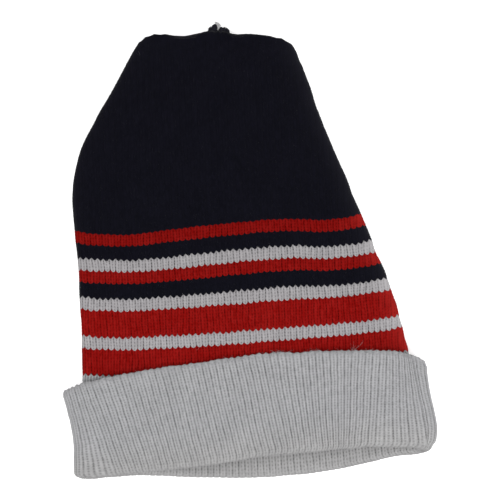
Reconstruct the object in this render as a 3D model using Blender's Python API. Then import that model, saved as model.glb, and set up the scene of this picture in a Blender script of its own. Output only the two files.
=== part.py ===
"""A striped knitted beanie with a turned-up ribbed cuff, lying flat on its back.

+Z points up from the surface under the hat, +Y from the mouth to the crown, and +X to the right of
somebody who looks down on it. All lengths are in metres.
"""
from collections import namedtuple
import math

import bmesh
import bpy
import numpy as np
from mathutils import Vector

# Knitted fabric
KNIT_WALL = 0.0025         # smooth knit
RIB_WALL = 0.0028          # ribbed knit of the cuff
RIB_DEPTH = 0.0007         # furrow between two ribs
RIB_COUNT = 112            # ribs all the way round the mouth
FOLD_HOLLOW = 0.0007       # radius left inside the wall where the tube is pressed flat
PLY_GAP = 0.0006           # air between the cuff's inner run and its outer band
SEAM_GAP = 0.0003          # between two pieces that meet

# The flattened tube, seen from above
TUBE_LENGTH = 0.195275     # crown and stripes together, from the gathered end to the cuff's rib
CROWN_WIDTH = 0.093        # at the gathered end
TUBE_WIDTH = 0.1965        # at the lowest stripe
MOUTH_WIDTH = 0.2136       # over the fold of the cuff
CROWN_ROUND = 0.0049       # how far the gathered end bulges past the last row
RUN_LENGTH = 0.0556        # inner run of the cuff, from the lowest stripe to the fold
CUFF_HEIGHT = 0.0627       # outer band of the cuff, from the fold to its free edge
CUFF_FLARE = 0.0082        # how far the outer band spreads past the tube at each side
MOUTH_STEP = 0.0105        # the back of the mouth reaches this much lower than the front

# The lying hat, seen from the side
CROWN_LOFT = 0.0105        # height of the gathered end
TUBE_LOFT = 0.0145         # height of the stripes
CUFF_LOFT = 0.0220         # height of the cuff
CUFF_LEAD = 0.0030         # the tube has come up to the cuff this far before its free edge
DROP_LENGTH = 0.0300       # stretch in which the back wall comes down from the cuff to the surface

# The gathered end
PLEAT_DEPTH = 0.0005       # pleats that run into the knot
PLEAT_REACH = 0.0150       # how far they run down the crown
KNOT_HEIGHT = 0.0056       # the taller lobe, over the gathered end
KNOT_WIDTH = 0.0146        # both lobes together
KNOT_DEPTH = 0.0070        # lobes, up from the surface
TAIL_RADIUS = 0.0006       # pale tying yarn
TAIL_LENGTH = 0.0066       # its cut end, over the gathered end
TAIL_FOOT = 0.0017         # its lower end between the lobes, over the gathered end
TAIL_SWELL = 0.6           # how much thicker its frayed tip is, share of its radius

# Steps of the faceted surface
FRONT_STEPS = 18
BACK_STEPS = 14
EDGE_STEPS = 2             # in each quarter turn round an edge of the tube

# Rings of the faceted surface, as shares: of the crown's length and of the gathered end, outside
# and inside, and of the cuff's outer band from its free edge to the fold
CROWN_CUTS = (0.08, 0.20, 0.35, 0.50, 0.66, 0.83)
CROWN_INSIDE_CUTS = (0.66, 0.35, 0.10)
END_CUTS = (0.05, 0.22, 0.45, 0.70, 0.90)
END_INSIDE_CUTS = (0.85, 0.50, 0.15)
BAND_CUTS = (1.0, 0.82, 0.52, 0.24, 0.09, 0.0)
BAND_INSIDE_CUTS = (0.0, 0.45, 1.0)

NAVY = (0.006, 0.006, 0.011, 1.0)
RED = (0.235, 0.007, 0.007, 1.0)
WHITE = (0.390, 0.385, 0.395, 1.0)
CUFF_GREY = (0.350, 0.352, 0.362, 1.0)
PALE = (0.300, 0.300, 0.310, 1.0)

# Knitted bands from the crown down, with their numbers of rows
Band = namedtuple("Band", "name rows yarn")
BANDS = (
    Band("crown_navy", 60, "navy_yarn"),
    Band("stripe_red_1", 4, "red_yarn"),
    Band("stripe_navy_1", 5, "navy_yarn"),
    Band("stripe_white_1", 4, "white_yarn"),
    Band("stripe_red_2", 4, "red_yarn"),
    Band("stripe_navy_2", 5, "navy_yarn"),
    Band("stripe_white_2", 4, "white_yarn"),
    Band("stripe_red_wide", 9, "red_yarn"),
    Band("stripe_white_3", 4, "white_yarn"),
    Band("stripe_red_4", 8, "red_yarn"),
)

# Where the bends of one knitted row are given, from its left end (-1) to its right end (1)
ACROSS = (-1.0, -0.9, -0.65, 0.0, 0.65, 0.9, 1.0)

# One knitted row of the lying tube. place: share of the tube's length, from the crown. spread: 0 is
# the crown's width and 1 the tube's. The rest are shares of the tube's width: how far the middle of
# the row lies to the right, and how far each point hangs below the row's middle.
Course = namedtuple("Course", "place spread drift end_left rim_left left right rim_right end_right")
TUBE_COURSES = (
    Course(0.000, 0.000, -0.083, 0.004, 0.003, 0.004, -0.001, 0.005, 0.014),
    Course(0.064, 0.110, -0.093, 0.003, 0.003, 0.003, 0.000, 0.000, 0.000),
    Course(0.137, 0.237, -0.097, 0.006, 0.006, 0.006, -0.003, -0.006, -0.006),
    Course(0.236, 0.403, -0.113, 0.011, 0.011, 0.011, -0.006, -0.011, -0.012),
    Course(0.334, 0.571, -0.118, 0.015, 0.017, 0.017, -0.009, -0.015, -0.018),
    Course(0.432, 0.681, -0.111, 0.018, 0.023, 0.024, -0.012, -0.018, -0.024),
    Course(0.561, 0.762, -0.080, 0.021, 0.028, 0.034, -0.015, -0.021, -0.031),
    Course(0.682, 0.841, -0.050, 0.021, 0.023, 0.025, -0.016, -0.027, -0.035),
    Course(0.804, 0.913, -0.024, 0.018, 0.021, 0.023, -0.015, -0.031, -0.040),
    Course(0.925, 0.962, -0.006, 0.017, 0.021, 0.023, -0.024, -0.038, -0.047),
    Course(1.000, 1.000, 0.006, 0.018, 0.021, 0.024, -0.024, -0.040, -0.049),
)

# The fold and the free edge of the cuff, in the same shares. At the back their ends are the front's.
Hem = namedtuple("Hem", "end_left rim_left left right rim_right end_right")
FOLD_FRONT = Hem(0.052, 0.053, 0.045, -0.037, -0.036, -0.022)
FOLD_BACK = Hem(None, 0.005, 0.002, -0.037, -0.066, None)
EDGE_FRONT = Hem(0.110, 0.087, 0.054, -0.018, -0.010, 0.014)
EDGE_BACK = Hem(None, 0.028, 0.018, -0.027, -0.052, None)
MOUTH_DRIFT = 0.019        # how far the mouth's middle lies to the right, share of the tube's width

# How the outer band spreads, from the fold (0) to the free edge (1), in shares of CUFF_FLARE
Flare = namedtuple("Flare", "place left right")
FLARES = (
    Flare(0.00, 0.00, 0.00),
    Flare(0.12, 0.07, 0.98),
    Flare(0.30, 0.17, 1.08),
    Flare(0.60, 0.44, 0.82),
    Flare(0.85, 0.86, 0.91),
    Flare(1.00, 1.02, 0.98),
)

# Soft dents of the upper wall. place: share of the length from the crown to the mouth. across:
# share of the tube's half width. slant: how far a dent wanders across along its own length.
# reach, spread: half its length and half its width, in the same shares. depth: share of the height.
Dent = namedtuple("Dent", "place across slant reach spread depth")
DENTS = (
    Dent(0.905, 0.655, 0.05, 0.060, 0.090, 0.110),
    Dent(0.240, -0.850, -0.07, 0.100, 0.045, 0.100),
    Dent(0.028, -0.168, 0.00, 0.030, 0.130, 0.090),
    Dent(0.560, 0.560, 0.10, 0.160, 0.110, 0.040),
    Dent(0.420, -0.300, 0.15, 0.120, 0.160, 0.035),
)

ROW_HEIGHT = TUBE_LENGTH / sum(band.rows for band in BANDS)
MOUTH = TUBE_LENGTH + RUN_LENGTH
PLY = RIB_WALL + PLY_GAP
FOLD_ROUND = RIB_WALL + PLY_GAP / 2

# One ring of the tube or the cuff: distances from the crown at the front's and the back's middle,
# the middle and the half width, lowest and highest point, the edges' radius, bends of the row
Station = namedtuple("Station", "front back middle half under top edge bend_front bend_back")


def ease(knots, values, at):
    """Smooth curve through the values, with no overshoot, level beyond the last knots."""
    knots = np.asarray(knots, dtype=float)
    values = np.asarray(values, dtype=float)
    at = np.clip(at, knots[0], knots[-1])
    steps = np.diff(knots)
    rates = np.diff(values) / steps
    slopes = np.zeros(len(knots))
    same_way = rates[:-1] * rates[1:] > 0
    sums = rates[:-1] + rates[1:]
    slopes[1:-1][same_way] = (2 * rates[:-1] * rates[1:] / np.where(sums == 0, 1, sums))[same_way]
    slopes[0] = rates[0]
    slopes[-1] = rates[-1]
    cell = np.clip(np.searchsorted(knots, at, side="right") - 1, 0, len(steps) - 1)
    width = steps[cell]
    t = (at - knots[cell]) / width
    rise = t * t * (3 - 2 * t)
    return (
        values[cell] * (1 - rise)
        + values[cell + 1] * rise
        + slopes[cell] * width * t * (1 - t) ** 2
        - slopes[cell + 1] * width * t * t * (1 - t)
    )


def column(rows, name):
    return [getattr(row, name) for row in rows]


def bends_of(row):
    """The row's bends at the places of ACROSS, in metres."""
    shares = (row.end_left, row.rim_left, row.left, 0.0, row.right, row.rim_right, row.end_right)
    return np.array(shares) * TUBE_WIDTH


def tube_bends(place):
    places = column(TUBE_COURSES, "place")
    every = np.array([bends_of(row) for row in TUBE_COURSES])
    return np.array([float(ease(places, every[:, index], place)) for index in range(len(ACROSS))])


def with_ends_of(front, back, drop):
    """The back's bends, whose ends meet the front's though its middle lies lower by drop."""
    ends = [front.end_left * TUBE_WIDTH - drop, front.end_right * TUBE_WIDTH - drop]
    inner = [back.rim_left, back.left, 0.0, back.right, back.rim_right]
    return np.array([ends[0], *(share * TUBE_WIDTH for share in inner), ends[1]])


def upper_height(distance):
    """Highest point of the tube: low at the crown, and up against the cuff's outer band."""
    settle = MOUTH - CUFF_HEIGHT - CUFF_LEAD
    knots = (0.0, 0.45 * settle, 0.80 * settle, settle)
    heights = (CROWN_LOFT, 0.85 * TUBE_LOFT, TUBE_LOFT, CUFF_LOFT - PLY)
    return float(ease(knots, heights, distance))


def lower_height(distance):
    """Lowest point of the tube: on the surface, and on the cuff's outer band near the mouth."""
    return float(ease((0.0, TUBE_LENGTH - DROP_LENGTH, TUBE_LENGTH), (0.0, 0.0, PLY), distance))


def side_places(distance):
    """Left and right edge of the tube, also of the run inside the cuff."""
    place = min(distance, TUBE_LENGTH) / TUBE_LENGTH
    places = column(TUBE_COURSES, "place")
    spread = float(ease(places, column(TUBE_COURSES, "spread"), place))
    middle = float(ease(places, column(TUBE_COURSES, "drift"), place)) * TUBE_WIDTH
    half = (CROWN_WIDTH + (TUBE_WIDTH - CROWN_WIDTH) * spread) / 2
    run = max(0.0, distance - TUBE_LENGTH) / RUN_LENGTH
    half += (MOUTH_WIDTH / 2 - PLY - half) * run
    middle += MOUTH_DRIFT * TUBE_WIDTH * run
    return middle - half, middle + half


def tube_station(distance):
    """A ring of the crown or of a stripe."""
    left, right = side_places(distance)
    bend = tube_bends(distance / TUBE_LENGTH)
    return Station(distance, distance, (left + right) / 2, (right - left) / 2,
                   lower_height(distance), upper_height(distance),
                   KNIT_WALL + FOLD_HOLLOW, bend, bend)


def run_station(share):
    """A ring of the cuff's inner run: 0 is the lowest stripe and 1 the start of the fold."""
    start = TUBE_LENGTH + SEAM_GAP
    front = start + (MOUTH - FOLD_ROUND - start) * share
    back = start + (MOUTH + MOUTH_STEP - FOLD_ROUND - start) * share
    left, right = side_places(front)
    upper = tube_bends(1.0)
    bend_front = upper + (bends_of(FOLD_FRONT) - upper) * share
    bend_back = upper + (with_ends_of(FOLD_FRONT, FOLD_BACK, MOUTH_STEP) - upper) * share
    return Station(front, back, (left + right) / 2, (right - left) / 2, PLY, CUFF_LOFT - PLY,
                   RIB_WALL + FOLD_HOLLOW, bend_front, bend_back)


def band_station(share):
    """A ring of the cuff's outer band: 0 is the start of the fold and 1 the free edge."""
    fold = MOUTH - FOLD_ROUND
    front = fold - (CUFF_HEIGHT - FOLD_ROUND) * share
    back = fold + MOUTH_STEP - (CUFF_HEIGHT - MOUTH_STEP - FOLD_ROUND) * share
    left, right = side_places(front)
    places = column(FLARES, "place")
    left -= PLY + CUFF_FLARE * float(ease(places, column(FLARES, "left"), share))
    right += PLY + CUFF_FLARE * float(ease(places, column(FLARES, "right"), share))
    step = back - front
    low_front = bends_of(FOLD_FRONT)
    low_back = with_ends_of(FOLD_FRONT, FOLD_BACK, MOUTH_STEP)
    high_drop = 2 * MOUTH_STEP
    high_front = bends_of(EDGE_FRONT)
    high_back = with_ends_of(EDGE_FRONT, EDGE_BACK, high_drop)
    bend_front = low_front + (high_front - low_front) * share
    bend_back = low_back + (high_back - low_back) * share
    bend_back[0] = bend_front[0] - step
    bend_back[-1] = bend_front[-1] - step
    return Station(front, back, (left + right) / 2, (right - left) / 2, 0.0, CUFF_LOFT,
                   RIB_WALL + FOLD_HOLLOW + PLY, bend_front, bend_back)


def dent_depth(x, distance):
    """Depth of the soft dents at a place of the upper wall, as a share of its height."""
    depth = np.zeros_like(x)
    for dent in DENTS:
        along = (distance / MOUTH - dent.place) / dent.reach
        aside = (2 * x / TUBE_WIDTH - dent.across - dent.slant * along) / dent.spread
        depth += dent.depth * np.exp(-along * along - aside * aside)
    return depth


def ring(station, turns, inset):
    """Points round the flattened tube, the turns counted from the left edge over the front."""
    core = station.half - station.edge
    quarter = math.pi / 2 * station.edge
    half_way = 2 * quarter + 2 * core
    turns = np.asarray(turns) % 1.0
    front = turns < 0.5
    walked = np.where(front, turns, 1.0 - turns) * 2 * half_way
    from_edge = np.minimum(walked, half_way - walked)
    side = np.where(walked < half_way / 2, -1.0, 1.0)
    angle = np.clip(from_edge / quarter, 0, 1) * math.pi / 2
    radius = station.edge - inset
    x = side * (core - np.maximum(from_edge - quarter, 0) + radius * np.cos(angle))
    rise = radius * np.sin(angle)
    inward = np.clip(1 - np.abs(x) / core, 0, 1)
    crown = (1 - (1 - inward) ** 2.2) ** 1.25
    across = np.clip(x / station.half, -1, 1)
    bend = np.where(front, ease(ACROSS, station.bend_front, across),
                    ease(ACROSS, station.bend_back, across))
    distance = np.where(front, station.front, station.back) + bend
    swell = (station.top - station.under - 2 * station.edge) * crown
    swell -= (station.top - station.under) * crown * dent_depth(x + station.middle, distance)
    z = station.under + station.edge + np.where(front, rise + swell, -rise)
    return np.stack([x + station.middle, -distance, z], axis=1)


def tube_turns(station):
    """Columns of the crown and the stripes, with steps of their own round the two edges."""
    quarter = math.pi / 2 * station.edge
    edge = quarter / (4 * quarter + 4 * (station.half - station.edge))
    stops = (
        (0.0, edge, EDGE_STEPS), (edge, 0.5 - edge, FRONT_STEPS), (0.5 - edge, 0.5, EDGE_STEPS),
        (0.5, 0.5 + edge, EDGE_STEPS), (0.5 + edge, 1 - edge, BACK_STEPS), (1 - edge, 1, EDGE_STEPS),
    )
    return np.concatenate([np.linspace(*stop, endpoint=False) for stop in stops])


def knit_ring(distance, inset):
    """A ring of the smooth knit, with the gathered end's pleats near the crown."""
    station = tube_station(distance)
    points = ring(station, tube_turns(station), inset)
    fade = max(0.0, 1 - distance / PLEAT_REACH) ** 2
    pleated = ring(station, tube_turns(station), inset + PLEAT_DEPTH * fade)
    points[1::2] = pleated[1::2]
    return points


def knot_axis():
    """Middle of the gathered end, where the pleats meet."""
    station = tube_station(0.0)
    return np.array([station.middle + 0.008 * TUBE_WIDTH, 0.0, station.top / 2])


def end_ring(share, inset):
    """A ring of the gathered end: 1 is the last knitted row and 0 the knot."""
    rim = knit_ring(0.0, inset)
    axis = knot_axis()
    points = axis + (rim - axis) * np.array([share, share, share ** 0.5])
    bulge = (1 - share ** 3.4) ** (1 / 3.4)
    points[:, 1] += (CROWN_ROUND - inset) * bulge
    pleat = PLEAT_DEPTH * math.sin(math.pi * min(1.0, max(0.0, (share - 0.2) / 0.8)))
    points[1::2, 1] -= pleat
    return points


def close_loft(name, rings, closed):
    """Skin over the rings. A closed one joins the last ring to the first, an open one is capped."""
    mesh = bpy.data.meshes.new(name)
    work = bmesh.new()
    loops = [[work.verts.new(point) for point in points] for points in rings]
    pairs = list(zip(loops, loops[1:]))
    if closed:
        pairs.append((loops[-1], loops[0]))
    for low, high in pairs:
        for index in range(len(low)):
            after = (index + 1) % len(low)
            work.faces.new((low[index], low[after], high[after], high[index]))
    if not closed:
        work.faces.new(loops[0])
        work.faces.new(loops[-1])
    bmesh.ops.recalc_face_normals(work, faces=work.faces)
    bmesh.ops.triangulate(work, faces=work.faces)
    work.to_mesh(mesh)
    work.free()
    mesh.shade_smooth()
    mesh.set_sharp_from_angle(angle=math.radians(50))
    return place_object(name, mesh)


def place_object(name, mesh):
    piece = bpy.data.objects.new(name, mesh)
    bpy.context.scene.collection.objects.link(piece)
    return piece


def yarn_material(name, colour, roughness):
    material = bpy.data.materials.new(name)
    material.use_nodes = True
    shader = material.node_tree.nodes["Principled BSDF"]
    shader.inputs["Base Color"].default_value = colour
    shader.inputs["Roughness"].default_value = roughness
    shader.inputs["Metallic"].default_value = 0.0
    return material


def yarn_materials():
    return {
        "navy_yarn": yarn_material("navy_yarn", NAVY, 0.90),
        "red_yarn": yarn_material("red_yarn", RED, 0.85),
        "white_yarn": yarn_material("white_yarn", WHITE, 0.88),
        "cuff_yarn": yarn_material("cuff_yarn", CUFF_GREY, 0.90),
        "pale_yarn": yarn_material("pale_yarn", PALE, 0.90),
    }


def make_crown(length):
    """The navy top: outside, rim, inside, both skins closed at the gathered end."""
    rings = [end_ring(share, 0.0) for share in END_CUTS]
    rings.append(knit_ring(0.0, 0.0))
    rings += [knit_ring(place * length, 0.0) for place in CROWN_CUTS]
    rings.append(knit_ring(length - SEAM_GAP / 2, 0.0))
    rings.append(knit_ring(length - SEAM_GAP / 2, KNIT_WALL))
    rings += [knit_ring(place * length, KNIT_WALL) for place in CROWN_INSIDE_CUTS]
    rings.append(knit_ring(0.0, KNIT_WALL))
    rings += [end_ring(share, KNIT_WALL) for share in END_INSIDE_CUTS]
    return close_loft("crown_navy", rings, closed=False)


def make_stripe(name, start, end):
    """One knitted band, a short tube with a wall."""
    ends = (start + SEAM_GAP / 2, end - SEAM_GAP / 2)
    rings = [knit_ring(place, 0.0) for place in ends]
    rings += [knit_ring(place, KNIT_WALL) for place in reversed(ends)]
    return close_loft(name, rings, closed=True)


def make_cuff():
    """The ribbed cuff in one piece: outer band, fold at the mouth, inner run."""
    count = 2 * RIB_COUNT
    turns = np.arange(count) / count
    furrow = RIB_DEPTH * (np.arange(count) % 2)
    outward = [ring(band_station(place), turns, furrow) for place in BAND_CUTS]
    inside = [ring(run_station(place), turns, RIB_WALL - RIB_DEPTH + furrow) for place in (1.0, 0.0)]
    middle = (outward[-1] + inside[0]) / 2
    arm = (outward[-1] - inside[0]) / 2
    reach = np.array([0.0, -FOLD_ROUND, 0.0])
    angles = [math.radians(angle) for angle in (45, 90, 135)]
    fold = [middle + arm * math.cos(angle) + reach * math.sin(angle) for angle in angles]
    slot_run = [ring(run_station(place), turns, np.zeros(count)) for place in (0.0, 1.0)]
    slot_band = [ring(band_station(place), turns, np.full(count, RIB_WALL))
                 for place in BAND_INSIDE_CUTS]
    return close_loft("cuff_rib", outward + fold + inside + slot_run + slot_band, closed=True)


def ball(name, centre, radii):
    """A closed faceted ball, stretched to its three radii."""
    work = bmesh.new()
    bmesh.ops.create_icosphere(work, subdivisions=2, radius=1.0)
    for vert in work.verts:
        vert.co = Vector(part * radius for part, radius in zip(vert.co, radii)) + Vector(centre)
    mesh = bpy.data.meshes.new(name)
    work.to_mesh(mesh)
    work.free()
    return place_object(name, mesh)


def cut_with(piece, tool, operation):
    """Boolean with a guide, which is applied and then deleted."""
    modifier = piece.modifiers.new(operation.lower(), "BOOLEAN")
    modifier.operation = operation
    modifier.solver = "EXACT"
    modifier.object = tool
    graph = bpy.context.evaluated_depsgraph_get()
    mesh = bpy.data.meshes.new_from_object(piece.evaluated_get(graph))
    piece.modifiers.clear()
    piece.data = mesh
    bpy.data.objects.remove(tool)


def tail_route(seat, foot):
    """Middle line of the tying yarn, from its foot in the knot up to its cut end."""
    axis = knot_axis()
    start = Vector((axis[0] + 0.02 * KNOT_WIDTH, seat + foot, axis[2]))
    rise = TAIL_LENGTH - foot
    shares = ((0.00, 0.0), (0.20, 0.02), (0.45, 0.04), (0.70, 0.0), (0.87, -0.06), (1.00, -0.12))
    return [start + Vector((aside * KNOT_WIDTH, up * rise, 0.0)) for up, aside in shares]


def make_tail(name, route, radius, swell):
    """A short round yarn end, thicker towards its frayed tip."""
    rings = []
    for index, point in enumerate(route):
        share = index / (len(route) - 1)
        size = radius * (1 + swell * share ** 3)
        turns = [2 * math.pi * step / 8 for step in range(8)]
        rings.append([point + size * Vector((math.cos(a), 0.0, math.sin(a))) for a in turns])
    return close_loft(name, rings, closed=False)


def make_knot(seat):
    """Two gathered lobes on one foot, with a groove for the tying yarn between them."""
    axis = knot_axis()
    left = (axis[0] - 0.27 * KNOT_WIDTH, seat + 0.36 * KNOT_HEIGHT, axis[2])
    right = (axis[0] + 0.24 * KNOT_WIDTH, seat + 0.16 * KNOT_HEIGHT, axis[2])
    foot = (axis[0], seat, axis[2])
    depth = KNOT_DEPTH / 2
    knot = ball("top_knot", foot, (0.40 * KNOT_WIDTH, 0.45 * KNOT_HEIGHT, 0.80 * depth))
    cut_with(knot, ball("lobe", left, (0.215 * KNOT_WIDTH, 0.58 * KNOT_HEIGHT, depth)), "UNION")
    cut_with(knot, ball("lobe", right, (0.270 * KNOT_WIDTH, 0.62 * KNOT_HEIGHT, depth)), "UNION")
    route = tail_route(seat, TAIL_FOOT - SEAM_GAP)
    groove = make_tail("groove", route, TAIL_RADIUS + SEAM_GAP, TAIL_SWELL)
    cut_with(knot, groove, "DIFFERENCE")
    below = bmesh.new()
    below.from_mesh(knot.data)
    cut = bmesh.ops.bisect_plane(
        below, geom=below.verts[:] + below.edges[:] + below.faces[:],
        plane_co=(0, seat, 0), plane_no=(0, -1, 0), clear_outer=True)
    edges = [part for part in cut["geom_cut"] if isinstance(part, bmesh.types.BMEdge)]
    bmesh.ops.holes_fill(below, edges=edges)
    bmesh.ops.triangulate(below, faces=below.faces)
    below.to_mesh(knot.data)
    below.free()
    knot.data.shade_smooth()
    return knot


def centre_on_surface(pieces):
    """Puts the middle of the hat's box over the origin, with its lowest point on the surface."""
    points = [vert.co for piece in pieces for vert in piece.data.vertices]
    low = [min(point[axis] for point in points) for axis in range(3)]
    high = [max(point[axis] for point in points) for axis in range(3)]
    shift = Vector((-(low[0] + high[0]) / 2, -(low[1] + high[1]) / 2, -low[2]))
    for piece in pieces:
        for vert in piece.data.vertices:
            vert.co += shift
        piece.data.update()


def make_bands(yarns):
    """The crown and the stripes below it, one after the other."""
    pieces = []
    start = 0.0
    for band in BANDS:
        end = start + band.rows * ROW_HEIGHT
        piece = make_crown(end) if start == 0.0 else make_stripe(band.name, start, end)
        piece.data.materials.append(yarns[band.yarn])
        pieces.append(piece)
        start = end
    return pieces


def make_gathered_tuft(yarns):
    """The knot over the gathered end and the tying yarn's cut end in it."""
    seat = float(end_ring(END_CUTS[0], 0.0)[:, 1].max()) + SEAM_GAP
    knot = make_knot(seat)
    tail = make_tail("yarn_tail", tail_route(seat, TAIL_FOOT), TAIL_RADIUS, TAIL_SWELL)
    knot.data.materials.append(yarns["navy_yarn"])
    tail.data.materials.append(yarns["pale_yarn"])
    return [knot, tail]


def build_hat():
    for old in list(bpy.data.objects):
        bpy.data.objects.remove(old)
    yarns = yarn_materials()
    pieces = make_bands(yarns)
    cuff = make_cuff()
    cuff.data.materials.append(yarns["cuff_yarn"])
    pieces.append(cuff)
    pieces += make_gathered_tuft(yarns)
    centre_on_surface(pieces)


build_hat()
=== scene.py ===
"""The striped beanie, dressed: stitches and ribs in relief, the gathered tuft, loose fibres, studio.

Lengths are in metres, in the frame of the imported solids: +Y from the mouth to the crown, +Z up.
"""

from collections import namedtuple
import math

import bpy
import numpy as np
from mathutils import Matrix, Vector


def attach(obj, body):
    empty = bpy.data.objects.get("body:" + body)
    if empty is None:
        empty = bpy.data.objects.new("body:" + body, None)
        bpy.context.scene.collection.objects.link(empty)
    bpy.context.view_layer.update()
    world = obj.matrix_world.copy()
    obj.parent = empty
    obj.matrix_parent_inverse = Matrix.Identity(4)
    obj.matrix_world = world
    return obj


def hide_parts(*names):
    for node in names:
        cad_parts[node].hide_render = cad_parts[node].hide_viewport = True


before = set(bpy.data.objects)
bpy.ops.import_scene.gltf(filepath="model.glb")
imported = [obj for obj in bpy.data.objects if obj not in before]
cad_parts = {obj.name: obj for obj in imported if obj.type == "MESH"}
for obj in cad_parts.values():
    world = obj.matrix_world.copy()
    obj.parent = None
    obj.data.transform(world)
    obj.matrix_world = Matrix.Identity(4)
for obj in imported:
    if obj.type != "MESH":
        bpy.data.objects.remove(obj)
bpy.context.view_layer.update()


def table(columns, *rows):
    """Rows of values under named columns."""
    line = namedtuple("Line", columns)
    return tuple(line(*row) for row in rows)


def fine_table(parts, columns, *rows):
    """The same, with every number a whole count of so many parts of one."""
    return table(columns, *[[value / parts for value in row] for row in rows])


THOUSANDTHS = 1000
TENTHS = 10000  # tenths of a millimetre in a metre, and the same parts of a share

# The fabric and the flattened tube, as the solids have them
KNIT_WALL = 0.0025
RIB_WALL = 0.0028
FOLD_HOLLOW = 0.0007
PLY_GAP = 0.0006
SEAM_GAP = 0.0003
TUBE_LENGTH = 0.195275
CROWN_WIDTH = 0.093
TUBE_WIDTH = 0.1965
MOUTH_WIDTH = 0.2136
CROWN_ROUND = 0.0049
RUN_LENGTH = 0.0556
CUFF_HEIGHT = 0.0627
CUFF_FLARE = 0.0082
MOUTH_STEP = 0.0112
PLY = RIB_WALL + PLY_GAP
FOLD_ROUND = RIB_WALL + PLY_GAP / 2
MOUTH = TUBE_LENGTH + RUN_LENGTH
SHIFT = np.array([-0.00434014, 0.1252702, 0.0])  # from the tables' origin to the frame's

# The lying hat from the side
CROWN_LOFT = 0.0105
TUBE_LOFT = 0.0145
CUFF_LOFT = 0.022
CUFF_LEAD = 0.003
DROP_LENGTH = 0.03
SWELL_EDGE = 2.2  # powers of the curve in which the upper side swells
SWELL_TOP = 1.25

# The gathered end and its tuft
KNOT_HEIGHT = 0.0056
KNOT_WIDTH = 0.0146
KNOT_DEPTH = 0.007
KNOT_SEAT = 0.00521  # height of the tuft's foot over the last course
KNOT_ASIDE = 0.0085  # how far right of the middle it is, share of the tube's width
TAIL_LENGTH = 0.0066
PUCKER_DEPTH = 0.0007
PUCKER_PITCH = 0.0029
PUCKER_REACH = 0.014  # how far from the knot the puckers are deep
PUCKER_REST = 0.00012  # their depth beyond
END_POWER = 3.4  # how square the crown's end is, and how much less so at its corners
END_SOFTER = 1.5
END_RINGS = (0.04, 0.15, 0.32, 0.52, 0.68, 0.79, 0.87, 0.93, 0.97, 0.99)

WALES = 112  # columns of stitches all the way round
LUMP_DEPTH = 0.00012  # unevenness of the fabric
GROOVE_DEPTH = 0.00045  # of the line down each side of the crown

# The knitted bands from the crown down: courses, yarn, and how much darker than that yarn
BANDS = table("name rows yarn fade",
    ("crown_navy", 60, "navy_yarn", 0.0),
    ("stripe_red_1", 4, "red_yarn", 0.18),
    ("stripe_navy_1", 5, "navy_yarn", 0.0),
    ("stripe_white_1", 4, "white_yarn", 0.12),
    ("stripe_red_2", 4, "red_yarn", 0.1),
    ("stripe_navy_2", 5, "navy_yarn", 0.0),
    ("stripe_white_2", 4, "white_yarn", 0.1),
    ("stripe_red_wide", 9, "red_yarn", 0.0),
    ("stripe_white_3", 4, "white_yarn", 0.05),
    ("stripe_red_4", 8, "red_yarn", 0.0),
)
INSIDE_PAINTED_LIGHT = 0.11  # how much painted light lightens the cuff's yarn on the inside of its fold, where the fold shades it
FOLD_PAINTED_SHADE = 0.3  # how much painted shade darkens it on the fold
PAINTED_SHEEN_LEFT = 0.3  # painted sheen on the fold of the crown's left side
PAINTED_SHEEN_RIGHT = 0.9  # and on the tube's right one
PAINTED_SHEEN_REACH = 0.0045  # how far from the folds it reaches
TUBE_ROWS = sum(band.rows for band in BANDS)
ROW_HEIGHT = TUBE_LENGTH / TUBE_ROWS
BAND_ROWS = 34  # courses of the cuff's outer band, of its fold and of its inner run
FOLD_ROWS = 5
RUN_ROWS = 29
RUN_START = BAND_ROWS + FOLD_ROWS
MOUTH_ROW = BAND_ROWS + FOLD_ROWS / 2

# The courses of the lying tube, at shares of its length. spread: 0 is the crown's width and 1 the tube's.
# The rest are shares of the tube's width: how far the middle lies to the right, and how far each point of
# ACROSS hangs below it.
ACROSS = (-1.0, -0.9, -0.65, 0.0, 0.65, 0.9, 1.0)
TUBE_COURSES = fine_table(THOUSANDTHS, "place spread drift end_left rim_left left right rim_right end_right",
    (0, 0, -83, 4, 3, 4, -1, 5, 14), (64, 110, -93, 3, 3, 3, 0, 0, 0), (137, 237, -97, 6, 6, 6, -3, -6, -6),
    (236, 403, -113, 11, 11, 11, -6, -11, -12), (334, 571, -118, 15, 17, 17, -9, -15, -18),
    (432, 681, -111, 18, 23, 24, -12, -18, -24), (561, 762, -80, 21, 28, 34, -15, -21, -31),
    (682, 841, -50, 21, 23, 25, -16, -27, -35), (804, 913, -24, 18, 21, 23, -15, -31, -40),
    (925, 962, -6, 17, 21, 23, -24, -38, -47), (1000, 1000, 6, 26, 28, 29, -24, -40, -49),
)
# The fold and the free edge of the cuff, in the same shares. At the back their ends follow the front's.
Hem = namedtuple("Hem", "end_left rim_left left right rim_right end_right")
FOLD_FRONT = Hem(0.058, 0.056, 0.0415, -0.037, -0.036, -0.022)
FOLD_BACK = Hem(0.0, 0.001, -0.001, -0.042, -0.064, 0.0)
EDGE_FRONT = Hem(0.11, 0.087, 0.054, -0.018, -0.01, 0.014)
EDGE_BACK = Hem(0.0, 0.028, 0.018, -0.027, -0.052, 0.0)
MOUTH_DRIFT = 0.019
# How far the outer band spreads past the tube at each side, in cuff flares, from the fold to its free edge
FLARES = table("place left right",
    (0.0, 0.07, 0.32), (0.06, 0.08, 0.66), (0.12, 0.09, 0.79), (0.18, 0.1, 0.89), (0.3, 0.12, 0.94),
    (0.4, 0.19, 0.92), (0.6, 0.43, 0.86), (0.7, 0.62, 0.88), (0.785, 0.75, 0.91), (0.86, 0.9, 0.94),
    (0.93, 1.0, 1.05), (1.0, 1.06, 1.08),
)
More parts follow.
